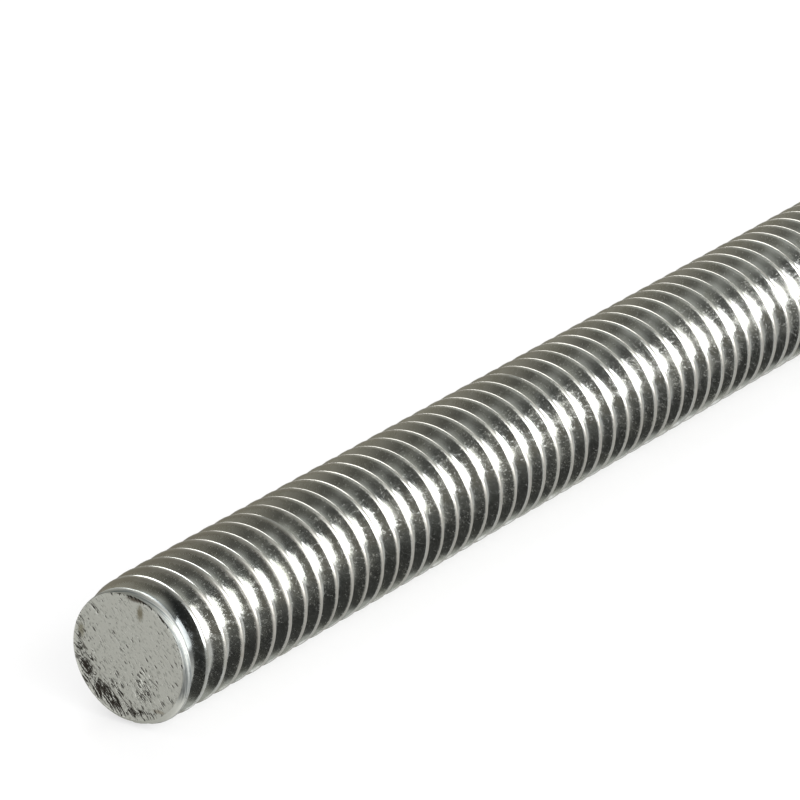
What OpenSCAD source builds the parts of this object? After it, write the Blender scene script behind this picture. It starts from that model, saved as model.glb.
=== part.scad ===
// Threaded rod, 5/16 in by 18 threads to the inch, cut to 4 in: one piece of zinc-plated
// steel, with a right-hand V thread over its whole length.
// The rod lies along +X, with the middle of its near end face at the origin.

/* [Thread] */
// Major diameter, over the crests
major_d = 7.9; // [6:0.05:12]
// Pitch: from one crest to the next
pitch = 1.411; // [1.3:0.001:2]
// Depth of the thread, from crest to root
depth = 0.86; // [0.3:0.01:0.88]
// Width of the flat along each crest
crest_w = 0.176; // [0.05:0.001:0.25]
// Angle between the two flanks of the V
flank_angle = 60; // [50:1:60]

/* [Rod] */
// Overall length
rod_len = 101.6; // [40:0.1:101.6]
// Diameter of the cut face on each end
face_d = 7; // [3:0.05:7.7]
// Axial length of the taper that runs from each cut face out to the crests
taper_len = 0.9; // [0.3:0.05:3]
// Length of the collar at each end, where the cut has closed the groove
collar_len = 0.6; // [0.1:0.05:1.2]

/* [Hidden] */

columns = 20;                 // lines of points along the rod, evenly spaced round it
crest_r = major_d/2;
root_r = crest_r - depth;
flank_slope = tan(flank_angle/2);
flank_w = depth*flank_slope;  // axial width of one flank
clear = 1;                    // how far the cutting shapes stand clear of the crests
overrun = 1.1;                // turns of thread past each cut face, before they are cut off

// One pitch of the profile as [axial place, radius], from the near edge of a crest.
profile = [
    [0, crest_r],
    [crest_w, crest_r],
    [crest_w + flank_w, root_r],
    [pitch - flank_w, root_r],
];
corners = len(profile);
rows = ceil(corners*(rod_len/pitch + 2*overrun));

// Row i of the thread at angle a: the profile repeats each pitch, and the helix carries
// it along by one pitch a turn.
function row_x(i, a) = profile[i % corners][0] + pitch*(floor(i/corners) + a/360 - overrun);
function row_r(i) = profile[i % corners][1];
function row_point(i, a) = [row_x(i, a), row_r(i)*cos(a), row_r(i)*sin(a)];

// Number of the point in column j and row i. Past the last column comes column 0 again,
// one pitch further along.
function id(j, i) = j < columns ? j*rows + i : i + corners;

// The threaded bar before its ends are cut: points on the helix, skinned with triangles.
module thread() {
    hub_near = columns*rows;
    hub_far = hub_near + 1;
    last = rows - 1;
    points = [
        for (j = [0:columns - 1], i = [0:last]) row_point(i, 360*j/columns),
        [row_x(0, 0), 0, 0],
        [row_x(last, 360), 0, 0],
    ];
    skin = [
        for (j = [0:columns - 1], i = [0:last - 1 - (j < columns - 1 ? 0 : corners)])
            each [
                [id(j, i), id(j, i + 1), id(j + 1, i + 1)],
                [id(j, i), id(j + 1, i + 1), id(j + 1, i)],
            ],
    ];
    // Each end is a fan of triangles round a hub, closed by the one-pitch step of the helix.
    near_fan = [
        for (j = [0:columns - 1]) [hub_near, id(j, 0), id(j + 1, 0)],
        for (i = [0:corners - 1]) [hub_near, i + 1, i],
    ];
    far_fan = [
        for (j = [0:columns - 2]) [hub_far, id(j + 1, last), id(j, last)],
        for (i = [last - corners:last - 1]) [hub_far, id(columns - 1, i), id(columns - 1, i + 1)],
        [hub_far, id(columns, last - corners), id(columns - 1, last - corners)],
    ];
    polyhedron(points = points, faces = concat(skin, near_fan, far_fan), convexity = 10);
}

// The outline that the cut leaves: a flat face on each end, and a taper out past the crests.
module outline() {
    taper_slope = taper_len/(crest_r - face_d/2);
    outer_r = crest_r + clear;
    taper_x = (outer_r - face_d/2)*taper_slope;
    rotate([0, 90, 0]) rotate_extrude($fn = 96) polygon([
        [0, 0],
        [face_d/2, 0],
        [outer_r, taper_x],
        [outer_r, rod_len - taper_x],
        [face_d/2, rod_len],
        [0, rod_len],
    ]);
}

// Metal that the cut has pushed into the end of the groove. Its inner side slopes like a flank.
module collar() {
    outer_r = crest_r + clear;
    core_r = root_r/2;
    rotate([0, 90, 0]) rotate_extrude($fn = 96) polygon([
        [0, -clear],
        [outer_r, -clear],
        [outer_r, collar_len - (outer_r - crest_r)*flank_slope],
        [core_r, collar_len + (crest_r - core_r)*flank_slope],
        [0, collar_len + (crest_r - core_r)*flank_slope],
    ]);
}

module threaded_rod() {
    color("#a9aba6") intersection() {
        union() {
            thread();
            collar();
            translate([rod_len, 0, 0]) mirror([1, 0, 0]) collar();
        }
        outline();
    }
}

threaded_rod();
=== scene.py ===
"""A short length of threaded rod: rolled steel, bright zinc plated, with sheared ends.

The rod lies along +X with the middle of its near cut face at the origin. Angles round it
run from +Y towards +Z. Everything is in metres, in the same frame as the CAD.
"""
import math

import bpy
import numpy as np
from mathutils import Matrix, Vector


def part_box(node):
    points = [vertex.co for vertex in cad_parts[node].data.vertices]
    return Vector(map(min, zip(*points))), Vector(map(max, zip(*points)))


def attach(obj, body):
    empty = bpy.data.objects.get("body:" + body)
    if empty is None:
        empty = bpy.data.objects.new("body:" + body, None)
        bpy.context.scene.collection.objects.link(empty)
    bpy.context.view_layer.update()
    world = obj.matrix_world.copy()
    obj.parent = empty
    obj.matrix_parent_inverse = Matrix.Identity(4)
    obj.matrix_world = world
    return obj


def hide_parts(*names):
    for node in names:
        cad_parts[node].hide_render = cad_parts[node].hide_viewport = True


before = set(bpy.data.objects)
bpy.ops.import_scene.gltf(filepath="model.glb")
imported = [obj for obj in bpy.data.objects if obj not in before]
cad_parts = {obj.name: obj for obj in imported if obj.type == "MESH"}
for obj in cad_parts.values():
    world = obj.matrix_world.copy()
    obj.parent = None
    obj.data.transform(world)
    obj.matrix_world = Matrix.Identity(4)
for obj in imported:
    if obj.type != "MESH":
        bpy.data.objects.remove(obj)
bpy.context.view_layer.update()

MM = 0.001

# ---------------------------------------------------------------- the rod's sizes
near_corner, far_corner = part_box("threaded_rod")
LENGTH = far_corner.x - near_corner.x
CREST_R = far_corner.z
TURNS = 72                        # 18 threads to the inch over 4 in
PITCH = LENGTH / TURNS
THREAD_DEPTH = 0.92 * MM
CREST_HALF = 0.064 * MM           # half the width of the flat along a crest
CREST_SOFT = 0.094 * MM           # how widely the edges of that flat are rounded over
ROOT_SOFT = 0.30 * MM             # and the corners of a root
FLANK_SLOPE = math.tan(math.radians(60))
CREST_START = math.radians(52)    # angle at which the middle of a crest leaves the near face
FACE_R = 3.55 * MM                # radius of the cut face
COLLAR_R = 3.80 * MM              # outer edge of the collar behind the cut face
COLLAR_LENGTH = 0.16 * MM
FULLER_BY = 0.07 * MM             # how much fuller the collar stands on its fuller side
LEAN_AWAY, LEAN_BACK = 0.22, 0.32      # mm that the shear has pushed the first threads

# Where the shear has left the end uneven. Sides are angles round the rod, in degrees, and
# the first two come with the width of their bell curve.
ROUNDED = (42, 0.24)              # upper left: the outline is rounded off
FULLER = (228, 0.14)              # lower right: it stands a little fuller
AWAY_SIDE = 87                    # top: the first threads lean away from the face
BACK_SIDE = 200                   # right, and a little low: they lean towards it
LONG_LIP_SIDE = 122               # upper right: the collar's lip is longest
WORN_SIDE = 255                   # underside: the crests are rubbed wider
TEAR_ANGLE = 46                   # the tears in the face lie along this, through its middle

# One pitch of the skin, from the middle of the root to the next: close rows over the crest.
ROW_PLACES = np.array([0, .085, .19, .30, .395, .43, .465, .50, .535, .57, .605, .70, .81, .915])
ROWS = len(ROW_PLACES)
COLUMNS = 64


def soft_min(a, b, width):
    """The lower of a and b: half of a + b less the root of (a - b)^2 + width^2."""
    return 0.5 * (a + b - np.sqrt((a - b) ** 2 + width ** 2))


def soft_max(a, b, width):
    """The higher of a and b: half of a + b plus the root of (a - b)^2 + width^2."""
    return 0.5 * (a + b + np.sqrt((a - b) ** 2 + width ** 2))


def wander(place, seed, longest, shortest):
    """A smooth random line between about -1 and 1: a sum of six sine waves with seeded phases,
    whose lengths run from the longest to the shortest."""
    waves = 6
    draw = np.random.default_rng(seed)
    lengths = np.geomspace(longest, shortest, waves)
    phases = draw.uniform(0, 2 * np.pi, waves)
    lines = [np.sin(2 * np.pi * place / l + p) for l, p in zip(lengths, phases)]
    return sum(lines) / math.sqrt(waves)


def bell_round(angle, side, width):
    """A bell curve round the rod, 1 at side, which is in degrees: e to the power of (the
    cosine of the angle between, less 1) over width."""
    return np.exp((np.cos(angle - math.radians(side)) - 1) / width)


def facing(angle, side):
    """A raised cosine round the rod: 1 at side, which is in degrees, and 0 opposite to it."""
    return 0.5 + 0.5 * np.cos(angle - math.radians(side))


def outline_radius(x, angle):
    """How far out the metal may reach at each x and angle. From either end it runs from the
    cut face out to the collar's edge, then by small steps to the full crests. The upper left
    of the end is rounded off by up to 0.24 mm and the lower right stands up to 0.07 mm fuller,
    each by a bell curve round the rod that dies away over 2.3 mm. The tables are in mm."""
    from_end = np.minimum(x, LENGTH - x) / MM
    reach = np.interp(from_end, [0, .06, .14, .20, .27, 1.0, 3.0, 4.8],
                      [3.55, 3.63, 3.73, 3.78, 3.81, 3.905, 3.935, 3.945])
    rounded = np.interp(from_end, [0, .12, .20, .40, .75, 1.1, 1.5, 2.3],
                        [0, .12, .22, .24, .21, .13, .06, 0])
    fuller = np.interp(from_end, [0, .20, .75, 2.3], [0, .07, .03, 0])
    return (reach - rounded * bell_round(angle, *ROUNDED)
            + fuller * bell_round(angle, *FULLER)) * MM


def shear_lean(x, angle):
    """How far the shear has pushed the first threads along the rod: away from the face on
    their upper side, by a raised cosine round the rod that dies away over 9 mm, and back
    towards it low on the right, by the square of one under a bell curve. Both are nothing
    at the face."""
    upper = facing(angle, AWAY_SIDE) * np.exp(-x / (9 * MM))
    lower = facing(angle, BACK_SIDE) ** 2 * np.exp(-((x - 1.0 * MM) / (2.3 * MM)) ** 2)
    away = LEAN_AWAY * upper * np.clip((x - 0.3 * MM) / (0.9 * MM), 0, 1)
    back = LEAN_BACK * lower * np.clip(x / (0.45 * MM), 0, 1)
    return MM * (away - back)


def rod_radius(x, pushed, angle):
    """Radius of the skin at x and angle, where the shear has pushed x to another place.
    Across one pitch the thread is the higher of the root and the lower of the crest and two
    60 degree flanks. The crests are rubbed a little wider along the underside, and a furrow
    0.07 mm deep runs along the first of them and fades out. A collar is added at each end,
    with a longer lip on its upper right and fuller low on the right, and the outline cuts
    both."""
    turn = x / PITCH - (angle - CREST_START) / (2 * np.pi)     # whole numbers are crest middles
    along = np.round(turn) + (angle - CREST_START) / (2 * np.pi)
    across = np.abs(turn - np.round(turn)) * PITCH
    rubbed = np.clip((np.cos(angle - math.radians(WORN_SIDE)) - 0.55) / 0.35, 0, 1)
    half = CREST_HALF * (1 + 0.25 * wander(along, 11, longest=1.7, shortest=0.21))
    half = half + 0.045 * MM * rubbed
    crest = CREST_R + 0.008 * MM + 0.004 * MM * wander(along, 12, longest=1.3, shortest=0.17)
    furrow = np.clip(1 - (x / PITCH - 0.7) / 1.6, 0, 1) * (x > 0.7 * PITCH)
    crest = crest - 0.07 * MM * furrow * np.exp(-(across / (0.06 * MM)) ** 2)
    flank = CREST_R - FLANK_SLOPE * (across - half)
    thread = soft_max(CREST_R - THREAD_DEPTH, soft_min(crest, flank, CREST_SOFT), ROOT_SOFT)
    from_end = np.minimum(pushed, LENGTH - pushed)
    from_lip = angle % (2 * np.pi) - math.radians(LONG_LIP_SIDE)
    longer = 0.34 * MM * np.exp(-(from_lip / math.radians(32)) ** 2)
    wavy = 0.03 * MM * wander(angle / (2 * np.pi), 13, longest=1, shortest=0.2)
    edge = COLLAR_LENGTH + longer + wavy
    collar_r = COLLAR_R + FULLER_BY * bell_round(angle, *FULLER)
    collar = np.minimum(collar_r, collar_r - FLANK_SLOPE * (from_end - edge))
    radius = soft_max(thread, np.maximum(collar, CREST_R - 1.2 * THREAD_DEPTH), 0.03 * MM)
    return np.minimum(soft_min(radius, outline_radius(pushed, angle), 0.02 * MM), CREST_R)


# ---------------------------------------------------------------- the torn cut face
def notches(y, z, centre, count, spread, length, width, depth, seed):
    """Depth of short torn notches, each a long bell curve lying along the tear, which fans
    out by 3.9 degrees for each mm down the face. Their middles are drawn at random round
    centre, and their directions and sizes vary. All sizes are in mm."""
    draw = np.random.default_rng(seed)
    radius = spread * np.sqrt(draw.uniform(0, 1, count))
    turn = draw.uniform(0, 2 * np.pi, count)
    cy, cz = centre[0] + radius * np.cos(turn), centre[1] + radius * np.sin(turn)
    tear = np.radians(TEAR_ANGLE - 3.9 * cz + draw.normal(0, 6, count))
    size = draw.uniform(0.6, 1.3, (3, count))
    dy, dz = y[:, None] - cy, z[:, None] - cz
    along = (dy * np.cos(tear) + dz * np.sin(tear)) / (length * size[0])
    over = (dz * np.cos(tear) - dy * np.sin(tear)) / (width * size[1])
    return (depth * size[2] * np.exp(-along ** 2 - over ** 2)).max(axis=1)


def tear_depth(y, z):
    """How deep the shear has torn the face at y and z, in mm: scattered notches, two rough
    patches, a few long scratches and a torn crescent inside the lower rim."""
    depth = notches(y, z, centre=(0, 0), count=200, spread=3.2, length=0.22, width=0.045,
                    depth=0.010, seed=21)
    for centre, count, spread, length, deep, seed in [
        ((-1.15, -1.0), 14, 0.50, 0.12, 0.045, 22),
        ((-0.80, -1.8), 14, 0.60, 0.42, 0.050, 23),
        ((0.65, -1.95), 14, 0.42, 0.18, 0.045, 24),
        ((2.60, -0.6), 14, 0.50, 0.20, 0.045, 25),
        ((2.15, 2.20), 1, 0.00, 0.38, 0.080, 26),
        ((1.63, 2.10), 1, 0.00, 0.09, 0.080, 29),
    ]:
        depth = np.maximum(depth, notches(y, z, centre, count, spread, length, 0.05, deep, seed))
    radius, angle = np.hypot(y, z), np.degrees(np.arctan2(z, y))
    begins, spans = -121, 137                             # the crescent, in degrees
    share = np.clip((angle - begins) / spans, 0, 1)
    width = 0.10 + 0.34 * np.sin(np.pi * share) ** 1.5
    middle = 3.32 - width + 0.05 * np.sin(angle / 4)
    rough = 0.6 + 0.4 * wander(angle / 40 + radius * 0.4, 27, longest=1, shortest=0.08)
    crescent = np.exp(-((radius - middle) / width) ** 2) * (share > 0) * (share < 1)
    crescent = crescent * np.sin(np.pi * share) ** 0.4
    return np.maximum(depth, 0.105 * crescent * np.clip(rough, 0.2, 1.3))


def rim_gap(y, z):
    """How deep the fine gap is between the face and the collar's lip, in mm, on the upper
    right of the rim. It is nearly twice as wide at the top."""
    radius, angle = np.hypot(y, z), np.degrees(np.arctan2(z, y))
    side = np.clip(1 - np.abs((angle - LONG_LIP_SIDE + 180) % 360 - 180) / 60, 0, 1) ** 0.5
    width = 0.06 + 0.05 * np.exp(-((angle - 92) / 16) ** 2)
    return 0.06 * side * np.exp(-((radius - FACE_R / MM + width) / width) ** 2)


def raggedness(y, z):
    """How thickly the fine tears lie, 0 to 1: thin at the upper right, thick in two patches
    low on the face and towards the crescent."""
    low_left = np.clip((2.6 * y / 3.5 - 2.4 * z / 3.5 + 1.2) / 5.0, 0, 1)
    patch = np.exp(-((y + 0.95) ** 2 + (z + 1.45) ** 2) / 0.8 ** 2)
    second = np.exp(-((y - 0.65) ** 2 + (z + 1.95) ** 2) / 0.5 ** 2)
    rim = np.exp(-((np.hypot(y, z) - 3.25) / 0.35) ** 2) * np.clip((y - z + 0.5) / 2.5, 0, 1)
    return np.clip(0.30 + 0.45 * low_left + 0.40 * patch + 0.35 * second + 0.35 * rim, 0, 1)


def face_points(rings, spokes, torn):
    """A polar grid of points over a cut face, from just inside its rim to near its middle.
    Each is pushed into the metal by the tear's depth, times torn. Returns x, y, z and the
    depth, which is in mm, where the gap by the lip counts at twice its depth, so that the
    material darkens the gap as painted shade."""
    share = np.linspace(0.985, 0.012, rings)[:, None]
    angle = CREST_START + np.pi + 2 * np.pi * np.arange(spokes)[None, :] / spokes
    y = (share * FACE_R / MM * np.cos(angle)).ravel()
    z = (share * FACE_R / MM * np.sin(angle)).ravel()
    depth = torn * tear_depth(y, z)
    # a slight dome, 0.02 mm high, and waves of 0.004 mm
    dome = 0.02 * np.hypot(y, z) ** 2 / 12
    dome = dome + 0.004 * wander(y + 0.7 * z, 28, longest=3, shortest=0.5) + 0.004
    gap = rim_gap(y, z)
    step = 0.8 * torn * gap
    pushed_in = np.maximum(np.maximum(depth, step) + dome + step, 0)
    return pushed_in * MM, y * MM, z * MM, np.maximum(depth, 2 * torn * gap)


def face_triangles(first, rim, rings, spokes, outward):
    """Triangles of a face: a fan from each rim point to its four spokes, the polar grid,
    and a fan round the hub. outward is -1 for the near face and 1 for the far one."""
    grid = first + np.arange(rings * spokes).reshape(rings, spokes)
    each = spokes // len(rim)
    outer = grid[0]
    fan = [np.stack([np.roll(outer, half)[::each], np.roll(outer, half - 1)[::each], rim], 1)
           for half in range(-each // 2 + 1, each // 2 + 1)]
    between = np.stack([np.roll(rim, -1), rim, outer[each // 2::each]], 1)
    a, b = grid[:-1], grid[1:]
    a_right, b_right = np.roll(a, -1, axis=1), np.roll(b, -1, axis=1)
    quads = [np.stack([b, b_right, a_right], -1), np.stack([b, a_right, a], -1)]
    hub = first + rings * spokes
    inner = grid[-1]
    centre = np.stack([np.full(spokes, hub), np.roll(inner, -1), inner], 1)
    triangles = np.concatenate([*fan, between, *[half.reshape(-1, 3) for half in quads], centre])
    return triangles if outward < 0 else triangles[:, ::-1]


# ---------------------------------------------------------------- the rod's mesh
def skin_grid():
    """Places of the thread's skin. Rows follow the root's helix, one pitch a turn, and the
    first and last turns shrink to a point, so that both ends come out square."""
    start = CREST_START + np.pi                           # the root leaves the near face here
    share = np.arange(COLUMNS)[None, :] / COLUMNS
    steps = np.concatenate([ROW_PLACES, [1.0]])
    near = steps[:-1, None] * share * PITCH
    rows = (np.arange(TURNS - 1)[:, None] + ROW_PLACES[None, :]).ravel()
    middle = rows[:, None] * PITCH + share * PITCH
    last = (TURNS - 1 + share) * PITCH
    far = last + steps[:, None] * (LENGTH - last)
    x = np.concatenate([near, middle, far])
    angle = np.broadcast_to(start + 2 * np.pi * share, x.shape)
    return x, angle


def skin_triangles(rows):
    """Triangles of the skin. Past the last column comes the first again, one turn on, and
    triangles that the two shrunken turns flatten are left out."""
    number = np.arange(rows * COLUMNS).reshape(rows, COLUMNS)
    closing = np.minimum(np.arange(rows) + ROWS, rows - 1)
    number = np.concatenate([number, number[closing, 0][:, None]], axis=1)
    number[:ROWS + 1, 0] = number[0, 0]
    number[0, COLUMNS] = number[0, 0]
    a, b, c, d = number[:-1, :-1], number[1:, :-1], number[1:, 1:], number[:-1, 1:]
    halves = np.stack([a, d, c], -1), np.stack([a, c, b], -1)
    triangles = np.concatenate([half.reshape(-1, 3) for half in halves])
    whole = (triangles != np.roll(triangles, 1, axis=1)).all(axis=1)
    return triangles[whole]


def build_rod():
    """One closed mesh: the threaded skin, and a torn face on each end. Two values are kept
    at each point for the faces' material: torn, 1 where a tear is 0.06 mm deep, which darkens
    the tears and the gap by the lip with dirt and painted shade, and ragged."""
    x, angle = skin_grid()
    pushed = x + shear_lean(x, angle)
    radius = rod_radius(x, pushed, angle)
    points = np.stack([pushed, radius * np.cos(angle), radius * np.sin(angle)], -1).reshape(-1, 3)
    skin = skin_triangles(len(x))
    near_rim, far_rim = np.arange(COLUMNS), (len(x) - 1) * COLUMNS + np.arange(COLUMNS)
    depth = [np.zeros(len(points))]
    faces, kinds = [skin], [np.zeros(len(skin), int)]
    # the near face has the finer grid, and the far one is a little less torn
    for rim, outward, rings, each, torn in [(near_rim, -1, 60, 4, 1.0), (far_rim, 1, 26, 2, 0.8)]:
        spokes = COLUMNS * each
        fx, fy, fz, fd = face_points(rings, spokes, torn)
        flat = np.stack([fx, fy, fz], 1)
        flat = np.concatenate([flat, [[flat[-spokes:, 0].mean(), 0, 0]]])
        if outward > 0:
            flat[:, 0] = LENGTH - flat[:, 0]
        first = sum(len(p) for p in depth)
        faces.append(face_triangles(first, rim, rings, spokes, outward))
        kinds.append(np.ones(len(faces[-1]), int))
        points = np.concatenate([points, flat])
        depth.append(np.append(fd, 0))
    faces, kinds, depth = np.concatenate(faces), np.concatenate(kinds), np.concatenate(depth)

    used, faces = np.unique(faces, return_inverse=True)
    points, depth, faces = points[used], depth[used], faces.reshape(-1, 3)
    mesh = bpy.data.meshes.new("rod_skin")
    mesh.from_pydata(points.tolist(), [], faces.tolist())
    mesh.polygons.foreach_set("material_index", kinds)
    mesh.polygons.foreach_set("use_smooth", np.ones(len(faces), bool))
    torn = mesh.attributes.new("torn", "FLOAT", "POINT")
    torn.data.foreach_set("value", np.clip(depth / 0.06, 0, 3).astype(np.float32))
    ragged = mesh.attributes.new("ragged", "FLOAT", "POINT")
    thick = raggedness(points[:, 1] / MM, points[:, 2] / MM)
    ragged.data.foreach_set("value", thick.astype(np.float32))
    lay_thread_map(mesh, points, faces)
    # only edges like the rim's, turned by more than this, are shaded hard
    mesh.set_sharp_from_angle(angle=math.radians(42))
    rod = bpy.data.objects.new("rod", mesh)
    bpy.context.scene.collection.objects.link(rod)
    return rod


def lay_thread_map(mesh, points, faces):
    """A UV map in metres: U runs along the thread's helix and V across it, from the middle
    of one root to the next."""
    angle = np.arctan2(points[:, 2], points[:, 1])
    turn = points[:, 0] / PITCH - (angle - CREST_START - np.pi) / (2 * np.pi)
    corner = turn[faces]
    # a corner past the seam goes back one turn
    corner = corner - np.round(corner - corner[:, :1])
    turns = np.floor(corner.min(axis=1) + 1e-4)
    v = (corner - turns[:, None]) * PITCH
    u = (points[faces][:, :, 0] / PITCH - (corner - turns[:, None])) * 2 * np.pi * CREST_R
    layer = mesh.uv_layers.new(name="along_thread")
    layer.data.foreach_set("uv", np.stack([u, v], -1).ravel().astype(np.float32))


# ---------------------------------------------------------------- materials
def colour(hex_code):
    """An sRGB hex value as the linear RGBA that a shader takes."""
    srgb = np.array([int(hex_code[i:i + 2], 16) for i in (1, 3, 5)]) / 255
    linear = np.where(srgb <= 0.04045, srgb / 12.92, ((srgb + 0.055) / 1.055) ** 2.4)
    return (*[float(v) for v in linear], 1.0)


def add(tree, kind, inputs=None, **settings):
    """Adds a node: settings are its properties, inputs its sockets' values or links. A Mix
    node takes two colours at inputs 6 and 7 and gives one at output 2. It takes two numbers
    at inputs 2 and 3 and gives one at output 0."""
    made = tree.nodes.new(kind)
    for name, value in settings.items():
        setattr(made, name, value)
    for name, value in (inputs or {}).items():
        if isinstance(value, bpy.types.NodeSocket):
            tree.links.new(value, made.inputs[name])
        else:
            made.inputs[name].default_value = value
    return made


def new_material(name):
    """An empty node material and its tree."""
    material = bpy.data.materials.new(name)
    material.use_nodes = True
    material.node_tree.nodes.clear()
    return material, material.node_tree


def bright_zinc():
    """Zinc plating on rolled steel: bright and slightly uneven, drawn out along the thread by
    the rolling dies, with fine nicks and specks from handling. It is dull along the crests,
    scuffed by the shear behind each cut face, and rubbed down to the steel along the lower
    side of the lip. Behind each cut face, its upper right side, which the key light falls on,
    has painted shade over the lip and first crest, streaked along the rolling lines, and
    in the first groove. Each mark is a share from 0 to 1, and the marks' colours,
    roughnesses and heights are laid on at the end, one over the other."""
    material, tree = new_material("bright_zinc")
    uv = add(tree, "ShaderNodeUVMap", uv_map="along_thread").outputs[0]
    here = add(tree, "ShaderNodeTexCoord").outputs["Object"]
    x = add(tree, "ShaderNodeSeparateXYZ", {0: here}).outputs["X"]
    far = add(tree, "ShaderNodeMath", {0: LENGTH, 1: x}, operation="SUBTRACT").outputs[0]
    near = add(tree, "ShaderNodeMath", {0: x, 1: far},
               operation="MINIMUM").outputs[0]   # from an end

    # rolling lines: 3 mm long and 0.07 mm wide
    lines_at = add(tree, "ShaderNodeVectorMath", {0: uv, 1: (1 / (3 * MM), 1 / (0.07 * MM), 0)},
                   operation="MULTIPLY").outputs[0]
    lines = add(tree, "ShaderNodeTexNoise",
                {"Vector": lines_at, "Scale": 1, "Detail": 3, "Roughness": 0.6}).outputs["Fac"]
    # patches where the plating is duller: 1.5 mm
    patches = add(tree, "ShaderNodeTexNoise", {"Vector": here, "Scale": 1 / (1.5 * MM), "Detail": 4,
                                               "Roughness": 0.65}).outputs["Fac"]
    dull = add(tree, "ShaderNodeMapRange", {"Value": patches, "From Min": 0.42, "From Max": 0.66},
               interpolation_type="SMOOTHSTEP").outputs[0]
    # grain of the plating: 0.12 mm
    grain = add(tree, "ShaderNodeTexNoise", {"Vector": here, "Scale": 1 / (0.12 * MM), "Detail": 2,
                                             "Roughness": 0.5}).outputs["Fac"]
    # fine mottling where the plating has dulled: 0.13 mm
    mottle = add(tree, "ShaderNodeTexNoise", {"Vector": here, "Scale": 1 / (0.13 * MM), "Detail": 4,
                                              "Roughness": 0.7}).outputs["Fac"]
    mottle = add(tree, "ShaderNodeMapRange", {"Value": mottle, "From Min": 0.50, "From Max": 0.72},
                 interpolation_type="SMOOTHSTEP").outputs[0]
    # handling smears across the flanks: 0.6 mm long and 0.25 mm wide, aslant
    aslant = add(tree, "ShaderNodeMapping",
                 {"Vector": uv, "Rotation": (0, 0, math.radians(-38))}).outputs[0]
    smears_at = add(tree, "ShaderNodeVectorMath",
                    {0: aslant, 1: (1 / (0.6 * MM), 1 / (0.25 * MM), 0)},
                    operation="MULTIPLY").outputs[0]
    smears = add(tree, "ShaderNodeTexNoise",
                 {"Vector": smears_at, "Scale": 1, "Detail": 3, "Roughness": 0.55}).outputs["Fac"]
    smear = add(tree, "ShaderNodeMapRange", {"Value": smears, "From Min": 0.46, "From Max": 0.78},
                interpolation_type="SMOOTHSTEP").outputs[0]
    # the crests are rubbed dull and a little dark: 0.2 mm wide
    across = add(tree, "ShaderNodeSeparateXYZ", {0: uv}).outputs["Y"]
    across = add(tree, "ShaderNodeMath", {0: across, 1: PITCH / 2}, operation="SUBTRACT").outputs[0]
    across = add(tree, "ShaderNodeMath", {0: across}, operation="ABSOLUTE").outputs[0]
    rubbed = add(tree, "ShaderNodeMapRange",
                 {"Value": across, "From Min": 0.06 * MM, "From Max": 0.14 * MM, "To Min": 1,
                  "To Max": 0}).outputs[0]
    # the lip and the first crest behind each cut face are scuffed by the shear: 0.8 mm wide
    scuff = add(tree, "ShaderNodeMapRange",
                {"Value": near, "From Min": 0.55 * MM, "From Max": 1.05 * MM, "To Min": 1,
                 "To Max": 0}).outputs[0]
    # specks that glint: cells 0.2 mm apart, of which about one in fourteen holds a speck
    cells = add(tree, "ShaderNodeTexVoronoi", {"Vector": here, "Scale": 1 / (0.20 * MM)}).outputs
    chance = add(tree, "ShaderNodeSeparateColor", {0: cells["Color"]}).outputs[0]
    chance = add(tree, "ShaderNodeMath", {0: scuff, 1: 0.15, 2: chance},
                 operation="MULTIPLY_ADD").outputs[0]
    size = add(tree, "ShaderNodeMapRange", {"Value": chance, "From Min": 0.93, "From Max": 1.03,
                                            "To Min": 0, "To Max": 0.24}).outputs[0]
    speck = add(tree, "ShaderNodeMath", {0: size, 1: cells["Distance"]},
                operation="SUBTRACT").outputs[0]
    speck = add(tree, "ShaderNodeMapRange",
                {"Value": speck, "From Min": 0.0, "From Max": 0.18}).outputs[0]
    dirty = add(tree, "ShaderNodeMath", {0: speck, 1: 0.15}, operation="MULTIPLY").outputs[0]
    # one brown stain, about 1 mm across, low on the right in the fourth groove
    away = add(tree, "ShaderNodeVectorMath", {0: here, 1: (5.3 * MM, -3.62 * MM, -0.43 * MM)},
               operation="DISTANCE").outputs["Value"]
    ragged = add(tree, "ShaderNodeMath", {0: smears, 1: 0.9 * MM, 2: away},
                 operation="MULTIPLY_ADD").outputs[0]
    stain = add(tree, "ShaderNodeMapRange", {"Value": ragged, "From Min": 0.7 * MM,
                                             "From Max": 1.15 * MM, "To Min": 1, "To Max": 0},
                interpolation_type="SMOOTHSTEP").outputs[0]
    # streaks along the rolling lines where it is scuffed
    streak = add(tree, "ShaderNodeMapRange", {"Value": lines, "From Min": 0.38, "From Max": 0.58,
                                              "To Min": 0.9, "To Max": 0.1}).outputs[0]
    worn = add(tree, "ShaderNodeMath", {0: scuff, 1: streak}, operation="MULTIPLY").outputs[0]
    # painted shade: the first groove behind each face is darkened on its upper right side, which
    # the key light falls on, to dim the highlight there
    side = add(tree, "ShaderNodeVectorMath", {0: here, 1: (0, -0.857, 0.515)},
               operation="DOT_PRODUCT").outputs["Value"]
    upper_right = add(tree, "ShaderNodeMapRange",
                      {"Value": side, "From Min": 2.4 * MM, "From Max": 3.3 * MM},
                      interpolation_type="SMOOTHSTEP").outputs[0]
    groove = add(tree, "ShaderNodeMapRange",
                 {"Value": near, "From Min": 0.45 * MM, "From Max": 0.65 * MM}).outputs[0]
    groove_end = add(tree, "ShaderNodeMapRange",
                     {"Value": near, "From Min": 1.50 * MM, "From Max": 1.80 * MM, "To Min": 0.9,
                      "To Max": 0}).outputs[0]
    for share in (groove_end, upper_right):
        groove = add(tree, "ShaderNodeMath", {0: groove, 1: share}, operation="MULTIPLY").outputs[0]
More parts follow.
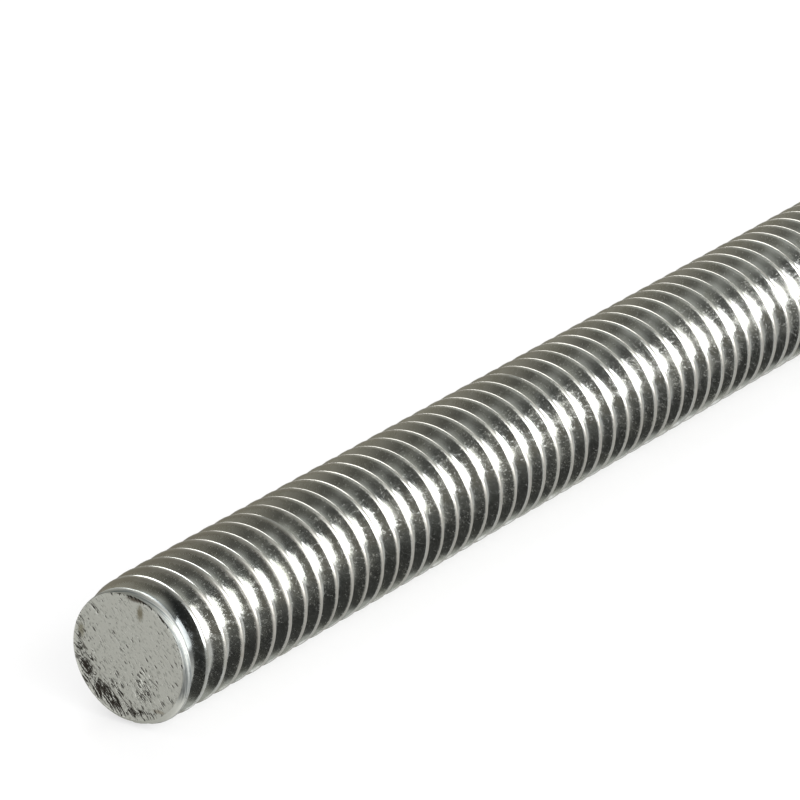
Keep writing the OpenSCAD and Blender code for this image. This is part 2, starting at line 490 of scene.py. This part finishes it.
    # and from 0.3 mm behind the face, over the lip and first crest on that side, painted shade,
    # darker and streaked along the rolling lines, to dim the key light's highlight
    behind = add(tree, "ShaderNodeMapRange",
                 {"Value": near, "From Min": 0.26 * MM, "From Max": 0.42 * MM}).outputs[0]
    streak = add(tree, "ShaderNodeMapRange", {"Value": lines, "From Min": 0.40, "From Max": 0.58,
                                              "To Min": 1.0, "To Max": 0.3}).outputs[0]
    painted_shade_behind_face = upper_right
    for share in (scuff, behind, streak):
        painted_shade_behind_face = add(tree, "ShaderNodeMath", {0: painted_shade_behind_face, 1: share}, operation="MULTIPLY").outputs[0]
    # a few marks of dirt low on the right, 0.8 mm behind the face
    away = add(tree, "ShaderNodeVectorMath", {0: here, 1: (0.8 * MM, -3.20 * MM, -2.05 * MM)},
               operation="DISTANCE").outputs["Value"]
    dirt = add(tree, "ShaderNodeMapRange",
               {"Value": away, "From Min": 0.5 * MM, "From Max": 1.1 * MM, "To Min": 1,
                "To Max": 0}).outputs[0]
    spots = add(tree, "ShaderNodeMapRange",
                {"Value": smears, "From Min": 0.54, "From Max": 0.60}).outputs[0]
    dirt = add(tree, "ShaderNodeMath", {0: dirt, 1: spots}, operation="MULTIPLY").outputs[0]
    # the lip's lower side is rounded over, and satin where the steel shows: 0.3 mm wide
    side = add(tree, "ShaderNodeVectorMath", {0: here, 1: (0, 0.342, -0.940)},
               operation="DOT_PRODUCT").outputs["Value"]
    under = add(tree, "ShaderNodeMapRange",
                {"Value": side, "From Min": -0.3 * MM, "From Max": 0.9 * MM},
                interpolation_type="SMOOTHSTEP").outputs[0]
    bare = add(tree, "ShaderNodeMapRange",
               {"Value": near, "From Min": 0.22 * MM, "From Max": 0.36 * MM, "To Min": 1,
                "To Max": 0}).outputs[0]
    bare = add(tree, "ShaderNodeMath", {0: bare, 1: under}, operation="MULTIPLY").outputs[0]

    tint = colour("#d6d8d5")
    for share, tone in [
        (dull, "#c6c7c0"),
        (rubbed, "#bdbbb4"),
        (stain, "#8d7850"),
        (dirty, "#5c5a4c"),
        (worn, "#7d8485"),
        # painted shade over the lip and first crest on the key light's side
        (painted_shade_behind_face, "#8d9497"),
        # painted shade in the first groove on the key light's side
        (groove, "#5f6466"),
        (dirt, "#4a453a"),
        (bare, "#cfd0c8"),
    ]:
        tint = add(tree, "ShaderNodeMix", {"Factor": share, 6: tint, 7: colour(tone)},
                   data_type="RGBA").outputs[2]
    duller = add(tree, "ShaderNodeMath", {0: dull, 1: stain}, operation="MAXIMUM").outputs[0]
    rough = add(tree, "ShaderNodeMapRange",
                {"Value": duller, "To Min": 0.10, "To Max": 0.19}).outputs[0]
    for share, more in [(smear, 0.08), (mottle, 0.17), (scuff, 0.28), (rubbed, 0.19)]:
        rough = add(tree, "ShaderNodeMath", {0: share, 1: more, 2: rough},
                    operation="MULTIPLY_ADD").outputs[0]
    rough = add(tree, "ShaderNodeMix", {"Factor": bare, 2: rough, 3: 0.5},
                data_type="FLOAT").outputs[0]
    metal = add(tree, "ShaderNodeMapRange",
                {"Value": bare, "To Min": 1.0, "To Max": 0.45}).outputs[0]
    height = 0.0
    for share, more in [(lines, 0.05), (grain, 0.12), (speck, 0.8)]:
        height = add(tree, "ShaderNodeMath", {0: share, 1: more, 2: height},
                     operation="MULTIPLY_ADD").outputs[0]
    bump = add(tree, "ShaderNodeBump",
               {"Height": height, "Strength": 1.0, "Distance": 0.006 * MM}).outputs[0]
    shader = add(tree, "ShaderNodeBsdfPrincipled",
                 {"Base Color": tint, "Metallic": metal, "Roughness": rough, "Normal": bump})
    add(tree, "ShaderNodeOutputMaterial", {"Surface": shader.outputs[0]})
    return material


def sheared_steel():
    """The end that a bar shear has left: dull grey, torn into notches along the cut, with dirt
    and painted shade in its notches and hollows and in the gap by the lip, and a little rust
    at the rim, whose line along the upper rim is painted shade of that gap as well."""
    material, tree = new_material("sheared_steel")
    here = add(tree, "ShaderNodeTexCoord").outputs["Object"]
    torn = add(tree, "ShaderNodeAttribute", attribute_name="torn",
               attribute_type="GEOMETRY").outputs["Fac"]
    turned = add(tree, "ShaderNodeMapping",
                 {"Vector": here, "Rotation": (math.radians(-TEAR_ANGLE), 0, 0)}).outputs[0]
    thick = add(tree, "ShaderNodeAttribute", attribute_name="ragged",
                attribute_type="GEOMETRY").outputs["Fac"]
    # two kinds of tear along the cut: lines 0.9 mm long, and nicks a third as long, whose
    # noise also shades the face and roughens it
    kinds = []
    for length, width, lean, lowest, highest in [(0.90, 0.080, 0.16, 0.695, 0.80),
                                                 (0.30, 0.095, 0.11, 0.69, 0.80)]:
        place = add(tree, "ShaderNodeVectorMath",
                    {0: turned, 1: (0, 1 / (length * MM), 1 / (width * MM))},
                    operation="MULTIPLY").outputs[0]
        fine = add(tree, "ShaderNodeTexNoise", {"Vector": place, "Scale": 1, "Detail": 2,
                                                "Roughness": 0.5, "Distortion": 0.2}).outputs["Fac"]
        level = add(tree, "ShaderNodeMath", {0: thick, 1: lean, 2: fine},
                    operation="MULTIPLY_ADD").outputs[0]
        level = add(tree, "ShaderNodeMath", {0: torn, 1: 0.14, 2: level},
                    operation="MULTIPLY_ADD").outputs[0]
        kinds.append(add(tree, "ShaderNodeMapRange",
                         {"Value": level, "From Min": lowest, "From Max": highest},
                         interpolation_type="SMOOTHSTEP").outputs[0])
    tear = add(tree, "ShaderNodeMath", {0: kinds[0], 1: kinds[1]}, operation="MAXIMUM").outputs[0]
    # and single deep nicks: cells 0.36 by 0.14 mm, of which about one in seven holds a nick
    place = add(tree, "ShaderNodeVectorMath", {0: turned, 1: (0, 1 / (0.36 * MM), 1 / (0.14 * MM))},
                operation="MULTIPLY").outputs[0]
    cells = add(tree, "ShaderNodeTexVoronoi", {"Vector": place, "Scale": 1}).outputs
    chance = add(tree, "ShaderNodeSeparateColor", {0: cells["Color"]}).outputs[0]
    chance = add(tree, "ShaderNodeMath", {0: thick, 1: 0.18, 2: chance},
                 operation="MULTIPLY_ADD").outputs[0]
    size = add(tree, "ShaderNodeMapRange", {"Value": chance, "From Min": 0.91, "From Max": 1.07,
                                            "To Min": 0, "To Max": 0.5}).outputs[0]
    size = add(tree, "ShaderNodeMath", {0: size, 1: cells["Distance"]},
               operation="SUBTRACT").outputs[0]
    nick = add(tree, "ShaderNodeMapRange",
               {"Value": size, "From Min": 0.0, "From Max": 0.15, "To Max": 0.75}).outputs[0]
    tear = add(tree, "ShaderNodeMath", {0: tear, 1: nick}, operation="MAXIMUM").outputs[0]
    # grain of the torn steel: 0.12 mm
    grain = add(tree, "ShaderNodeTexNoise", {"Vector": here, "Scale": 1 / (0.12 * MM), "Detail": 3,
                                             "Roughness": 0.6}).outputs["Fac"]
    shade = add(tree, "ShaderNodeMapRange", {"Value": fine, "From Min": 0.30, "From Max": 0.46},
                interpolation_type="SMOOTHSTEP").outputs[0]
    clean = add(tree, "ShaderNodeMix", {"Factor": shade, 6: colour("#aaaca4"),
                                        7: colour("#cfd0c8")}, data_type="RGBA").outputs[2]
    # rust: a run below the upper rim, a dark line along that rim, which is rust and painted
    #     shade of the gap by the lip, an arc low on the right and a patch where the crescent begins
    for middle, size, reach, tone in [
        ((-0.80, 2.65), (0.28, 0.55), 0.80, "#776f56"),
        ((-0.55, 3.34), (0.85, 0.16), 0.85, "#4a3f30"),
        ((-1.92, -2.65), (0.50, 0.14), 0.60, "#8b7f6a"),
        ((3.05, 0.75), (0.30, 0.55), 0.60, "#7b7452"),
    ]:
        middle_at = (0, middle[0] * MM, middle[1] * MM)
        half_size = (0, size[0] * MM, size[1] * MM)
        place = add(tree, "ShaderNodeMapping",
                    {"Vector": here, "Location": middle_at, "Scale": half_size},
                    vector_type="TEXTURE").outputs[0]
        out = add(tree, "ShaderNodeVectorMath", {0: place}, operation="LENGTH").outputs["Value"]
        out = add(tree, "ShaderNodeMath", {0: grain, 1: 0.9, 2: out},
                  operation="MULTIPLY_ADD").outputs[0]
        rust_and_gap_shade = add(tree, "ShaderNodeMapRange",
                   {"Value": out, "From Min": 0.75, "From Max": 1.5, "To Min": reach, "To Max": 0},
                   interpolation_type="SMOOTHSTEP").outputs[0]
        clean = add(tree, "ShaderNodeMix", {"Factor": rust_and_gap_shade, 6: clean, 7: colour(tone)},
                    data_type="RGBA").outputs[2]
    # dirt and painted shade: the tears, nicks, crescent and the gap by the lip are darkened as
    # hollows
    tint = add(tree, "ShaderNodeMix", {"Factor": tear, 6: clean, 7: colour("#34302a")},
               data_type="RGBA").outputs[2]
    height = add(tree, "ShaderNodeMath", {0: grain, 1: 0.5, 2: fine},
                 operation="MULTIPLY_ADD").outputs[0]
    height = add(tree, "ShaderNodeMath", {0: tear, 1: -2.0, 2: height},
                 operation="MULTIPLY_ADD").outputs[0]
    bump = add(tree, "ShaderNodeBump",
               {"Height": height, "Strength": 1.0, "Distance": 0.015 * MM}).outputs[0]
    shader = add(tree, "ShaderNodeBsdfPrincipled",
                 {"Base Color": tint, "Metallic": 0.45, "Roughness": 0.5, "Normal": bump})
    add(tree, "ShaderNodeOutputMaterial", {"Surface": shader.outputs[0]})
    return material


# ---------------------------------------------------------------- floor, lights and camera
def direction(azimuth, elevation):
    """Unit vector at an azimuth from +X towards +Y and a height above level, in degrees."""
    a, e = math.radians(azimuth), math.radians(elevation)
    return Vector((math.cos(e) * math.cos(a), math.cos(e) * math.sin(a), math.sin(e)))


AIM = Vector((0.02, 0, 0))        # the lights and cards stand round this point


def soft_box(name, azimuth, elevation, distance, width, height, brightness):
    """A rectangular studio light that faces the rod. brightness is what a mirror shows of it."""
    lamp = bpy.data.lights.new(name, "AREA")
    lamp.shape, lamp.size, lamp.size_y = "RECTANGLE", width, height
    lamp.energy = brightness * math.pi * width * height
    box = bpy.data.objects.new(name, lamp)
    box.location = AIM + distance * direction(azimuth, elevation)
    box.rotation_euler = (-direction(azimuth, elevation)).to_track_quat("-Z", "Y").to_euler()
    bpy.context.scene.collection.objects.link(box)


def glow(name):
    """An emission material for a card, with its colour from the card's tone."""
    material, tree = new_material(name)
    tone = add(tree, "ShaderNodeAttribute", attribute_name="tone").outputs["Color"]
    shader = add(tree, "ShaderNodeEmission", {"Color": tone})
    add(tree, "ShaderNodeOutputMaterial", {"Surface": shader.outputs[0]})
    material.cycles.emission_sampling = "NONE"
    return material


def card(name, azimuths, elevations, distance, tone):
    """A curved studio card that only reflections see: part of a sphere round the rod, with
    its tone worked out from azimuth and elevation at each point."""
    az, el = np.meshgrid(np.linspace(*azimuths, 49), np.linspace(*elevations, 33))
    a, e = np.radians(az), np.radians(el)
    outward = np.stack([np.cos(e) * np.cos(a), np.cos(e) * np.sin(a), np.sin(e)], -1)
    points = outward * distance + np.array(AIM)
    number = np.arange(az.size).reshape(az.shape)
    corners = [number[:-1, :-1], number[:-1, 1:], number[1:, 1:], number[1:, :-1]]
    quads = np.stack(corners, -1).reshape(-1, 4)
    mesh = bpy.data.meshes.new(name)
    mesh.from_pydata(points.reshape(-1, 3).tolist(), [], quads.tolist())
    paint = mesh.attributes.new("tone", "FLOAT_COLOR", "POINT")
    rgba = np.concatenate([tone(az, el), np.ones((*az.shape, 1))], -1)
    paint.data.foreach_set("color", rgba.ravel().astype(np.float32))
    mesh.materials.append(glow(name))
    made = bpy.data.objects.new(name, mesh)
    bpy.context.scene.collection.objects.link(made)
    made.visible_camera = made.visible_diffuse = made.visible_shadow = False


def front_tone(az, el):
    """Olive grey to the left of the near end, falling to charcoal towards the camera's side,
    with the pale table below and a lighter ceiling above."""
    left = np.interp(az, [95, 118, 130, 142, 155, 180], [0.38, 0.29, 0.24, 0.18, 0.10, 0.075])
    front = np.interp(el, [-72, -63, -50, -38, -28, -17, -5, 5, 16, 26],
                      [0.05, 0.05, 0.045, 0.03, 0.05, 0.09, 0.14, 0.14, 0.085, 0.07])
    share = np.interp(az, [168, 188], [0, 1])
    level = left * (1 - share) + front * share
    table = np.interp(el, [-70, -66], [1, 0])
    ceiling = np.clip((el - np.interp(az, [160, 175], [38, 30])) / 14, 0, 1)
    level = level + table * (0.43 - level) + ceiling * (0.45 - level)
    brown = np.interp(az, [178, 190], [0, 1]) * np.interp(el, [-16, -8, 14, 22], [0, 0.9, 0.9, 0])
    warm = np.maximum(np.interp(az, [100, 150, 190], [1, 0.7, 0.1]), brown)
    warm = (warm * (1 - table) * (1 - ceiling))[..., None]
    tint = warm * np.array([1.04, 0.97, 0.80]) + (1 - warm) * np.array([0.98, 1.0, 0.94])
    return level[..., None] * tint


def plain_tone(level, tint):
    """The tone of a card that is the same all over."""
    return lambda az, el: np.full((*az.shape, 1), level) * np.array(tint)


def overhead_tone(az, el):
    """Blue grey over the rod, a little darker towards the zenith."""
    level = np.interp(el, [58, 66, 90], [0.48, 0.44, 0.38])
    return level[..., None] * np.array([0.93, 1.0, 0.99])


def white_surround():
    """A world that is white to the camera, mirrors and glass, and a plain pale grey to the rest."""
    world = bpy.data.worlds.new("white_surround")
    world.use_nodes = True
    tree = world.node_tree
    tree.nodes.clear()
    path = add(tree, "ShaderNodeLightPath").outputs
    seen = add(tree, "ShaderNodeMath", {0: path["Is Camera Ray"], 1: path["Is Glossy Ray"]},
               operation="MAXIMUM").outputs[0]
    seen = add(tree, "ShaderNodeMath", {0: seen, 1: path["Is Transmission Ray"]},
               operation="MAXIMUM").outputs[0]
    plain = add(tree, "ShaderNodeBackground", {"Color": (1, 1, 1, 1), "Strength": 0.6}).outputs[0]
    white = add(tree, "ShaderNodeBackground", {"Color": (1, 1, 1, 1), "Strength": 1.0}).outputs[0]
    mixed = add(tree, "ShaderNodeMixShader", {0: seen, 1: plain, 2: white}).outputs[0]
    add(tree, "ShaderNodeOutputWorld", {"Surface": mixed})
    bpy.context.scene.world = world


def pale_floor():
    """A pale floor that the rod rests on. Part of its white is its own, so its shadow is soft,
    and reflections don't see it."""
    material, tree = new_material("pale_floor")
    path = add(tree, "ShaderNodeLightPath").outputs
    base = add(tree, "ShaderNodeBsdfDiffuse", {"Color": (0.35, 0.35, 0.35, 1)}).outputs[0]
    own = add(tree, "ShaderNodeEmission", {"Color": (1, 1, 1, 1), "Strength": 0.62}).outputs[0]
    none = add(tree, "ShaderNodeEmission", {"Strength": 0.0}).outputs[0]
    lift = add(tree, "ShaderNodeMixShader", {0: path["Is Camera Ray"], 1: none, 2: own}).outputs[0]
    both = add(tree, "ShaderNodeAddShader", {0: base, 1: lift}).outputs[0]
    add(tree, "ShaderNodeOutputMaterial", {"Surface": both})
    material.cycles.emission_sampling = "NONE"
    mesh = bpy.data.meshes.new("floor")
    size, level = 6.0, -CREST_R                           # half its width in metres, and its height
    corners = [(-size, -size, level), (size, -size, level), (size, size, level),
               (-size, size, level)]
    mesh.from_pydata(corners, [], [(0, 1, 2, 3)])
    mesh.materials.append(material)
    floor = bpy.data.objects.new("floor", mesh)
    bpy.context.scene.collection.objects.link(floor)
    floor.visible_glossy = False


def place_camera():
    """A long lens that looks down on the near end from in front and to the right."""
    lens = bpy.data.cameras.new("camera")
    lens.lens, lens.sensor_width = 307, 36                # mm
    camera = bpy.data.objects.new("camera", lens)
    camera.location = (-0.2557, -0.1959, 0.1467)
    looking = direction(azimuth=34.95, elevation=-22.35)
    camera.rotation_euler = looking.to_track_quat("-Z", "Y").to_euler()
    bpy.context.scene.collection.objects.link(camera)
    bpy.context.scene.camera = camera


# ---------------------------------------------------------------- the scene
rod = build_rod()
rod.data.materials.append(bright_zinc())
rod.data.materials.append(sheared_steel())
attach(rod, "root")
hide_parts("threaded_rod")

white_surround()
pale_floor()
place_camera()
# Angles are in degrees and sizes in metres.
soft_box("key_box", azimuth=-104.5, elevation=22.5, distance=0.6, width=1.10, height=0.52,
         brightness=4.2)
soft_box("back_box", azimuth=28, elevation=37, distance=0.7, width=0.51, height=0.59,
         brightness=3.2)
far_grey = plain_tone(0.36, [1.0, 0.98, 0.88])        # warm, on the far side of the rod
table_grey = plain_tone(0.60, [1.0, 1.0, 0.98])       # pale, as a pale table top reflects
over_key_grey = plain_tone(0.33, [0.90, 1.0, 1.02])   # bluish, over the key light
for name, azimuths, elevations, distance, tone in [
    ("front_card", (95, 221), (-80, 60), 0.9, front_tone),
    ("far_card", (-12, 95), (-6, 26), 0.95, far_grey),
    ("low_far_card", (34, 95), (-80, -6), 0.95, far_grey),
    ("gap_card", (-24, 3), (33, 60), 0.85, far_grey),
    ("high_far_card", (45, 95), (26, 58), 0.85, far_grey),
    ("low_card", (-139, 34), (-85, -6), 0.97, table_grey),
    ("over_key_card", (-140, -55), (40, 58), 0.85, over_key_grey),
    ("overhead_card", (0, 360), (58, 90), 0.8, overhead_tone),
]:
    card(name, azimuths, elevations, distance, tone)
bpy.context.scene.view_settings.view_transform = "Standard"
